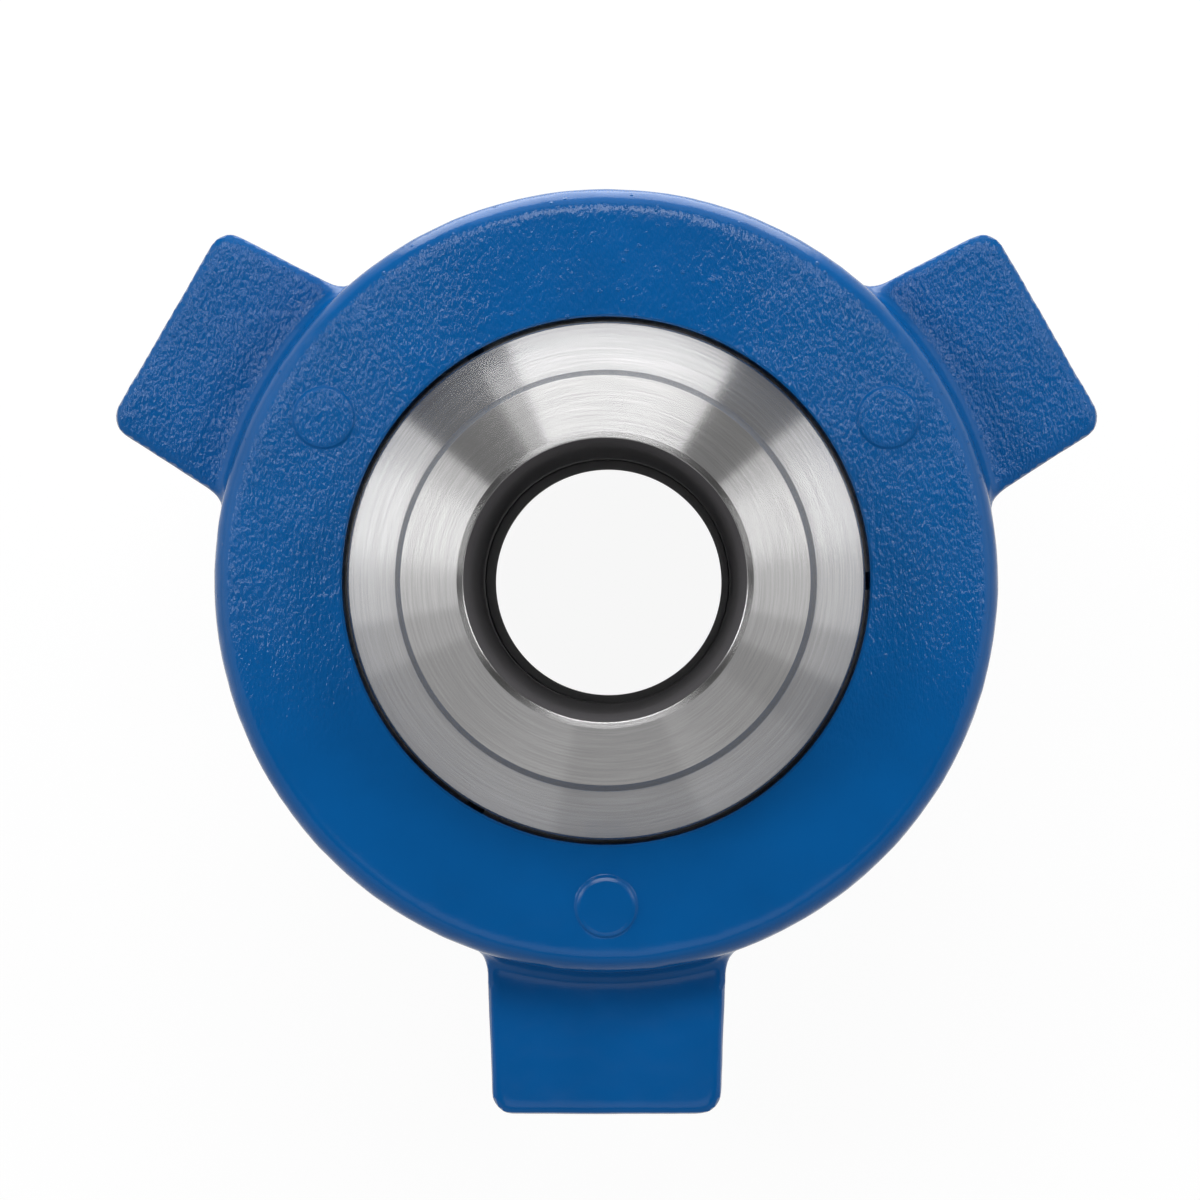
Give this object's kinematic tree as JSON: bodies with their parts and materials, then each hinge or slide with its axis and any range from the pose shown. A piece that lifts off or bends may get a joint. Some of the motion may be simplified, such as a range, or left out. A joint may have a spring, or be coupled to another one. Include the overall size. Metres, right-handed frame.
{
  "type": "hammer union",
  "caption": "High-pressure hammer union with butt-weld ends: a threaded female sub, a ball-nosed male sub, and a lugged wing nut that draws them together.",
  "frame": {"origin": "middle of the footprint box, at the face of the female weld end; the bore's axis is 16.3 mm from it towards +Y, because the lower lug reaches further than the body does on the other side", "axes": "+Z along the bore from the female weld end to the male weld end; the longer lug points to -Y and the other two to 30 and 150 degrees from +X"},
  "size_m": [0.2272, 0.2138, 0.1999],
  "materials": {
    "blue_enamel": "glossy enamel over an as-forged surface",
    "turned_steel": "finely turned",
    "plated_steel": "turned and plated",
    "spring_steel": "blued",
    "seal_rubber": "moulded, matt",
    "seal_brass": "turned"
  },
  "bodies": {
    "female_sub": {"female_sub": "turned_steel", "seal_ring": "seal_rubber", "seal_backup_ring": "seal_brass"},
    "retainer": {"retainer_segment_1": "plated_steel", "retainer_segment_2": "plated_steel", "retainer_segment_3": "plated_steel"},
    "wing_nut": {"wing_nut": "blue_enamel", "retainer_ring": "spring_steel"},
    "male_sub": {"male_sub": "turned_steel"}
  },
  "joints": [
    {"name": "union_opening", "type": "slide", "parent": "female_sub", "child": "retainer", "axis": [0, 0, 1], "range_m": [0, 0.0381]},
    {"name": "wing_nut_turn", "type": "hinge", "parent": "retainer", "child": "wing_nut", "pos_m": [0, 0.01625, 0.116], "axis": [0, 0, 1], "range_deg": [0, 1620]},
    {"name": "male_sub_swivel", "type": "hinge", "parent": "retainer", "child": "male_sub", "pos_m": [0, 0.01625, 0.135], "axis": [0, 0, 1], "continuous": true}
  ],
  "couplings": [
    {"joint": "union_opening", "follows": "wing_nut_turn", "m_per_rad": 0.0013475}
  ]
}
